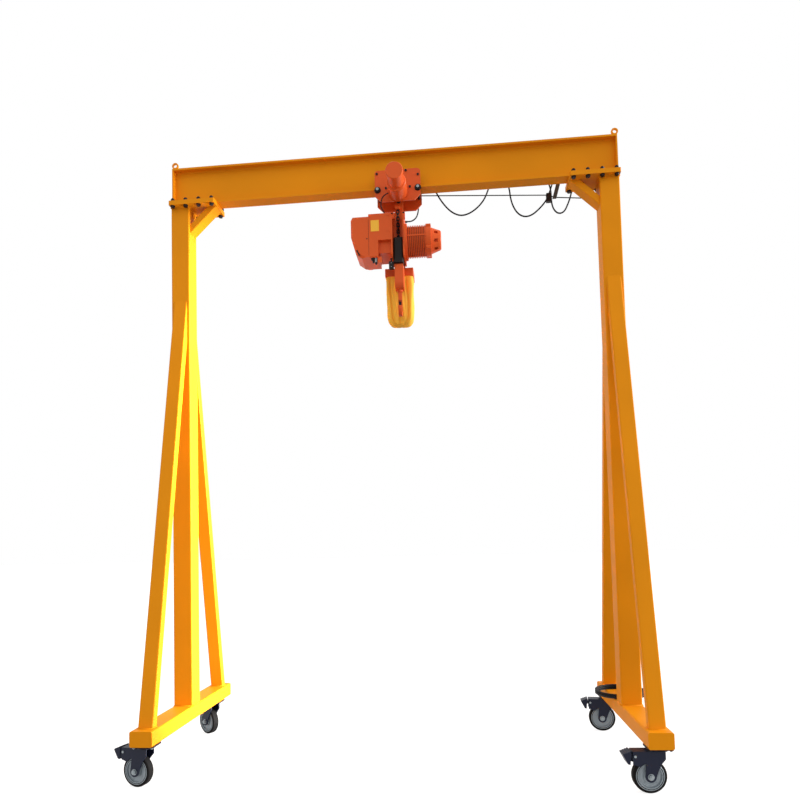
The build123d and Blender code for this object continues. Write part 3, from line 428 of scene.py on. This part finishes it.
def caster_details(name):
    # Axle nuts, the pedal's pin heads and the wheel's turned rings
    roll = JOINTS[name + "_roll"]
    wheel_centre = Vector(roll["pos_m"])
    pin_centre = Vector(JOINTS[name + "_pedal"]["pos_m"])
    axis = Vector(roll["axis"]).normalized()
    fasteners, ribs = bmesh.new(), bmesh.new()
    for side in (-1, 1):
        outward = axis * side
        washer = wheel_centre + outward * FORK_HALF_WIDTH
        nut = washer + outward * AXLE_WASHER_HEIGHT
        add_prism(fasteners, washer, outward, AXLE_WASHER_RADIUS, AXLE_WASHER_HEIGHT, 24)
        add_prism(fasteners, nut, outward, AXLE_NUT_RADIUS, AXLE_NUT_HEIGHT, 6, 0.3)
        add_prism(fasteners, nut + outward * AXLE_NUT_HEIGHT, outward, PIN_RADIUS, PIN_HEIGHT, 16)
        add_prism(fasteners, pin_centre + outward * FORK_HALF_WIDTH, outward, PIN_RADIUS, PIN_HEIGHT, 16)
        for radius, half_width, depth in WHEEL_RIBS:
            add_rib(ribs, wheel_centre + outward * depth, outward, radius, half_width, RIB_LIFT)
    mesh_piece(name + "_fasteners", fasteners, "bright_steel", name + "_swivel")
    mesh_piece(name + "_wheel_rings", ribs, "wheel_metal", name + "_roller", smooth=True)


for caster in CASTERS:
    caster_details(caster)

# Welds round the feet and heads of the columns and the feet of the struts
COLUMN_WELD = 0.005
STRUT_WELD = 0.004
STRUT_DEPTH = 0.061


def weld_round(bm, x_low, x_high, y_low, y_high, z, radius):
    for a, b in (((x_low, y_low), (x_high, y_low)), ((x_low, y_high), (x_high, y_high)),
                 ((x_low, y_low), (x_low, y_high)), ((x_high, y_low), (x_high, y_high))):
        add_bead(bm, (*a, z), (*b, z), radius)


def welds():
    bm = bmesh.new()
    for side in ("left", "right"):
        low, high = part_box(side + "_column")
        for z in (low[2], high[2]):
            weld_round(bm, low[0], high[0], low[1], high[1], z, COLUMN_WELD)
        for end in ("front", "rear"):
            low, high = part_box(side + "_" + end + "_strut")
            outer, inner = (low[1], low[1] + STRUT_DEPTH) if end == "front" else (high[1], high[1] - STRUT_DEPTH)
            weld_round(bm, low[0], high[0], outer, inner, low[2], STRUT_WELD)
    mesh_piece("welds", bm, "frame_paint", "portal", smooth=True)


welds()

# Trolley details: bright rod ends in black nuts, small screws in the plate
ROD_APART = 0.148
ROD_UP = 0.09
ROD_END_RADIUS, ROD_END_HEIGHT = 0.0105, 0.0015
ROD_NUT_RADIUS, ROD_NUT_HEIGHT = 0.024, 0.003
PLATE_SCREW_RADIUS, PLATE_SCREW_HEIGHT = 0.009, 0.006
PLATE_SCREWS = ((0.132, 4.232), (-0.081, 4.220), (0.220, 4.196), (0.159, 4.108), (-0.016, 4.108))


def trolley_details():
    plate_low, plate_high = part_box("trolley_front_plate")
    face = plate_low[1]
    rods_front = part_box("trolley_tie_rods")[0][1]
    shine, dark = bmesh.new(), bmesh.new()
    middle = (plate_low[0] + plate_high[0]) / 2
    rod_z = plate_low[2] + ROD_UP
    for x in (middle - ROD_APART, middle + ROD_APART):
        add_prism(shine, (x, rods_front, rod_z), FRONTWARD, ROD_END_RADIUS, ROD_END_HEIGHT, 20)
        add_prism(dark, (x, face, rod_z), FRONTWARD, ROD_NUT_RADIUS, ROD_NUT_HEIGHT, 24)
    for x, z in PLATE_SCREWS:
        add_prism(dark, (x, face, z), FRONTWARD, PLATE_SCREW_RADIUS, PLATE_SCREW_HEIGHT, 6, x * 30)
    mesh_piece("rod_ends", shine, "bright_steel", "trolley")
    mesh_piece("plate_screws", dark, "dark_steel", "trolley")


trolley_details()

# Hoist details, their places given from the gear case's front face, underside and top
MOTOR_AXIS_Z = 3.729
FLANGE_RADIUS, FLANGE_HEIGHT = 0.129, 0.017
WALL_Y = (-0.020, -0.014)
LUG_PLACES = (0.0253, 0.1085)
LUG_HALF_WIDTH = 0.0108
LEAD_GLAND, LEAD_GLAND_AXIS = (0.107, 0.045, 3.909), (0.040, 0.032, 0.018)
COVER_SCREW_RADIUS, COVER_SCREW_HEIGHT = 0.006, 0.004
LABEL = ((-0.131, 3.777), (-0.071, 3.777), (-0.071, 3.859), (-0.131, 3.859))
COVER_SLOT = ((-0.2205, 3.600), (-0.2125, 3.606), (-0.2335, 3.648), (-0.2415, 3.642))
COVER_SEAM = ((-0.149, 3.600), (-0.147, 3.600), (-0.147, 3.868), (-0.149, 3.868))


def under_the_case(dark, shine, paint, face, under):
    # Glands with a hexagonal nut and a boss, then the limit switch with its stem and two screws
    for bm, x, behind, above, radius, height, sides, spin, top_share in (
            (dark, -0.116, 0.032, 0.004, 0.023, 0.016, 28, 0.0, 0.8),
            (shine, -0.099, 0.024, 0.002, 0.011, 0.034, 6, 0.2, 1.0),
            (dark, -0.099, 0.024, -0.030, 0.0095, 0.016, 20, 0.0, 0.8),
            (dark, -0.119, 0.030, -0.010, 0.008, 0.022, 16, 0.0, 0.8)):
        add_prism(bm, (x, face + behind, under + above), DOWN, radius, height, sides, spin, top_share)
    add_box(paint, (-0.086, face + 0.010, under - 0.040), (-0.056, face + 0.050, under + 0.004))
    add_box(dark, (-0.008, -0.074, under - 0.076), (0.026, -0.044, under - 0.024))
    add_box(dark, (0.004, -0.062, under - 0.026), (0.014, -0.056, under + 0.004))
    for z in (under - 0.036, under - 0.064):
        add_prism(shine, (0.009, -0.074, z), FRONTWARD, 0.0028, 0.002, 14)


def on_the_covers(dark, paint, label, face, top_z):
    # The blank label, a slot and a plug in the control cover, its seam and the case's screws
    add_plate(label, LABEL, face, 0.0008)
    add_plate(dark, COVER_SLOT, face, 0.0012)
    add_prism(dark, (-0.161, face, 3.725), FRONTWARD, 0.0045, 0.0012, 18)
    for x, z in ((-0.137, top_z - 0.020), (0.003, top_z - 0.020), (0.003, 3.775)):
        add_prism(paint, (x, face, z), FRONTWARD, COVER_SCREW_RADIUS, COVER_SCREW_HEIGHT, 6, 0.3)
    add_plate(dark, COVER_SEAM, face, 0.0004)


def on_the_frame(dark, paint, face, top_z):
    # The gland of the hoist's lead, two lugs with bolt heads, the wall behind the front chain with its
    # tab, and the motor's mounting flange
    frame_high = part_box("hoist_frame")[1]
    frame_top = frame_high[2]
    add_prism(dark, LEAD_GLAND, LEAD_GLAND_AXIS, 0.0095, 0.022, 18, 0.0, 0.75)
    for x in LUG_PLACES:
        add_box(paint, (x - LUG_HALF_WIDTH, face + 0.010, top_z - 0.044),
                (x + LUG_HALF_WIDTH, face + 0.032, top_z + 0.005))
        add_prism(dark, (x, face + 0.010, top_z - 0.006), FRONTWARD, 0.0065, 0.005, 6, 0.2)
    add_box(paint, (0.0245, WALL_Y[0], 3.736), (0.1015, WALL_Y[1], frame_top - 0.004))
    add_box(paint, (0.0245, WALL_Y[0], frame_top - 0.010), (0.0405, WALL_Y[1], frame_top + 0.042))
    add_prism(paint, (frame_high[0], 0, MOTOR_AXIS_Z), ALONG_BEAM, FLANGE_RADIUS, FLANGE_HEIGHT, 96)


def hoist_details():
    case_low, case_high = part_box("gear_case")
    face, under, top_z = case_low[1], case_low[2], case_high[2]
    dark, shine, paint, label = bmesh.new(), bmesh.new(), bmesh.new(), bmesh.new()
    under_the_case(dark, shine, paint, face, under)
    on_the_covers(dark, paint, label, face, top_z)
    on_the_frame(dark, paint, face, top_z)
    mesh_piece("hoist_glands_and_switch", dark, "dark_steel", "trolley")
    mesh_piece("hoist_bright_fittings", shine, "bright_steel", "trolley")
    mesh_piece("hoist_boss_and_screws", paint, "hoist_paint", "trolley")
    mesh_piece("blank_label", label, "bag_fabric", "trolley")


hoist_details()

# Painted shade: dark bands at the bottom of the grooves between the motor's fins, where the grooves lie in shade
FINS_START = 0.111
FIN_COUNT = 12
FIN_PITCH = 0.155 / FIN_COUNT
GROOVE_RADIUS = 0.1042
GROOVE_SHADE_HALF_LENGTH = 0.0013


def fin_groove_shade():
    bm = bmesh.new()
    for k in range(1, FIN_COUNT):
        centre = (FINS_START + FIN_PITCH * k, 0, MOTOR_AXIS_Z)
        # Each dark band paints the shade at the bottom of one groove
        add_band(bm, centre, ALONG_BEAM, GROOVE_RADIUS, GROOVE_SHADE_HALF_LENGTH)
    mesh_piece("fin_groove_shade", bm, "dark_steel", "trolley", smooth=True)


fin_groove_shade()

# The chain bag: woven cloth with folds, a hem under the frame and a sagging bottom
BAG_COLUMNS = 168
BAG_ROWS = 72
BAG_CORNER = 0.030
# The rows' shares of the sides and of the rounded bottom, and the bottom's height and shape
SIDE_SHARE, BOTTOM_SHARE = 0.72, 0.28
BOTTOM_HEIGHT = 0.062
BOTTOM_FALL = 1.15
BOTTOM_FULLNESS = 0.46
BAG_TAPER = 0.03
CLOTH_THICKNESS = 0.003
MERGE_DISTANCE = 0.00005
# Folds as their place round the bag, their width and how far they stand out or in
FOLDS = ((0.07, 0.014, -0.010), (0.20, 0.030, 0.003), (0.315, 0.016, -0.010), (0.43, 0.020, -0.008),
         (0.55, 0.020, 0.003), (0.622, 0.011, -0.011), (0.665, 0.012, 0.004), (0.715, 0.011, -0.012),
         (0.765, 0.014, 0.004), (0.812, 0.010, -0.011), (0.855, 0.012, 0.004), (0.90, 0.010, -0.008),
         (0.95, 0.018, 0.003))
FOLD_DEPTH = 1.35
FOLD_GROWTH = 0.22
FOLD_WANDER = 0.010
WAVE_DEPTH = 0.002
HEM_THICKNESS, HEM_END = 0.0016, 0.075
SLACK = 0.004


def outline_point(share, half_x, half_y):
    # A point on a rounded rectangle and its outward direction, share running round it once
    straight_x, straight_y = 2 * (half_x - BAG_CORNER), 2 * (half_y - BAG_CORNER)
    arc = math.pi / 2 * BAG_CORNER
    left = (share % 1.0) * (2 * straight_x + 2 * straight_y + 4 * arc)
    corner_x, corner_y = half_x - BAG_CORNER, half_y - BAG_CORNER
    for run, angle, at_x, at_y in ((straight_y, 0, 1, -1), (straight_x, 90, 1, 1), (straight_y, 180, -1, 1),
                                   (straight_x, 270, -1, -1)):
        out = Vector((math.cos(math.radians(angle)), math.sin(math.radians(angle))))
        along = Vector((-out.y, out.x))
        start = Vector((at_x * corner_x, at_y * corner_y)) + out * BAG_CORNER
        if left <= run:
            return start + along * left, out
        left -= run
        if left <= arc:
            centre = start + along * run - out * BAG_CORNER
            turned = math.radians(angle) + left / BAG_CORNER
            out = Vector((math.cos(turned), math.sin(turned)))
            return centre + out * BAG_CORNER, out
        left -= arc
    return start, out


def bag_swell(share, drop):
    # How far the cloth stands out of its flat shape, drop running from the frame's lower edge to the floor
    if drop <= 0:
        return 0.0
    strength = min(1.0, drop / FOLD_GROWTH)
    total = 0.0
    for place, width, depth in FOLDS:
        wander = FOLD_WANDER * math.sin(5.0 * drop + place * 40)
        away = (share - place - wander + 0.5) % 1.0 - 0.5
        total += depth * math.exp(-(away / width) ** 2)
    total += WAVE_DEPTH * math.sin(share * 2 * math.pi * 3 + drop * 9)
    hem = HEM_THICKNESS if drop < HEM_END else 0.0
    return total * FOLD_DEPTH * strength + hem - SLACK * drop ** 1.5


def chain_bag():
    low, high = (Vector(v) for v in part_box("chain_bag"))
    frame_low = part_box("bag_frame")[0][2]
    centre = (low + high) / 2
    half_x, half_y = (high.x - low.x) / 2, (high.y - low.y) / 2
    side_end = low.z + BOTTOM_HEIGHT
    bm = bmesh.new()
    rings = []
    for row in range(BAG_ROWS + 1):
        v = row / BAG_ROWS
        if v < SIDE_SHARE:
            z = high.z - (high.z - side_end) * v / SIDE_SHARE
            spread = 1.0
        else:
            t = (v - SIDE_SHARE) / BOTTOM_SHARE * math.pi / 2
            z = side_end - BOTTOM_HEIGHT * math.sin(t) ** BOTTOM_FALL
            spread = max(math.cos(t), 0.0) ** BOTTOM_FULLNESS
        drop = (frame_low - z) / (frame_low - low.z)
        taper = 1.0 - BAG_TAPER * max(0.0, drop) ** 2
        ring = []
        for column in range(BAG_COLUMNS):
            share = column / BAG_COLUMNS
            flat, out = outline_point(share, half_x, half_y)
            swell = bag_swell(share, drop) * spread
            spot = Vector((flat.x * taper, flat.y * (taper * 0.5 + 0.5))) * spread + out * swell
            ring.append(bm.verts.new((centre.x + spot.x, centre.y + spot.y, z)))
        rings.append(ring)
    for upper, lower in zip(rings, rings[1:]):
        for column in range(BAG_COLUMNS):
            after = (column + 1) % BAG_COLUMNS
            bm.faces.new((upper[column], lower[column], lower[after], upper[after]))
    bmesh.ops.remove_doubles(bm, verts=bm.verts, dist=MERGE_DISTANCE)
    bmesh.ops.recalc_face_normals(bm, faces=bm.faces)
    bag = mesh_piece("cloth_bag", bm, "bag_fabric", "trolley", smooth=True)
    shell = bag.modifiers.new("cloth", "SOLIDIFY")
    shell.thickness = CLOTH_THICKNESS
    shell.offset = -1
    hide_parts("chain_bag")


chain_bag()

# Floor: grey to the light, white to the eye and in reflections
HALF_FLOOR = 60
FLOOR_GLOW = 0.8
WHITE = (1, 1, 1, 1)
floor_mesh = bpy.data.meshes.new("floor")
floor_mesh.from_pydata([(x * HALF_FLOOR, y * HALF_FLOOR, 0) for x, y in ((-1, -1), (1, -1), (1, 1), (-1, 1))],
                       [], [(0, 1, 2, 3)])
floor = bpy.data.objects.new("floor", floor_mesh)
scene.collection.objects.link(floor)
floor_mat = principled("floor", (0.33, 0.32, 0.31), roughness=0.95, specular=0.1)
tree = floor_mat.node_tree


def math_node(operation, first, second):
    # A node that joins an output to a second output or to a number
    node = tree.nodes.new("ShaderNodeMath")
    node.operation = operation
    tree.links.new(first, node.inputs[0])
    if isinstance(second, float):
        node.inputs[1].default_value = second
    else:
        tree.links.new(second, node.inputs[1])
    return node.outputs[0]


rays = tree.nodes.new("ShaderNodeLightPath").outputs
seen = math_node("MAXIMUM", rays["Is Camera Ray"], rays["Is Glossy Ray"])
seen = math_node("MAXIMUM", seen, rays["Is Transmission Ray"])
floor_shader = tree.nodes["Principled BSDF"]
floor_shader.inputs["Emission Color"].default_value = WHITE
tree.links.new(math_node("MULTIPLY", seen, FLOOR_GLOW), floor_shader.inputs["Emission Strength"])
floor.data.materials.append(floor_mat)

# Light: an even white surrounding, a broad window on the right, and a low one between the legs that
# lights the inside of the left leg
AMBIENT = 1.0
world = bpy.data.worlds.new("world")
scene.world = world
world.use_nodes = True
back = world.node_tree.nodes["Background"]
back.inputs["Color"].default_value = WHITE
back.inputs["Strength"].default_value = AMBIENT


def place_lamp(data, toward):
    lamp = bpy.data.objects.new(data.name, data)
    scene.collection.objects.link(lamp)
    lamp.rotation_euler = Vector(toward).to_track_quat("-Z", "Y").to_euler()
    return lamp


def sun(name, toward, strength, angle):
    data = bpy.data.lights.new(name, "SUN")
    data.energy = strength
    data.angle = math.radians(angle)
    place_lamp(data, toward)


def panel(name, place, toward, width, height, watts, spread):
    data = bpy.data.lights.new(name, "AREA")
    data.shape = "RECTANGLE"
    data.size = width
    data.size_y = height
    data.energy = watts
    data.spread = math.radians(spread)
    lamp = place_lamp(data, toward)
    lamp.location = place
    lamp.visible_camera = False


sun("window", toward=(-1.0, -0.05, -0.16), strength=5.5, angle=35)
panel("low_window", place=(-0.5, 0.45, 1.9), toward=(-1, -0.12, 0), width=1.5, height=3.6, watts=118, spread=80)
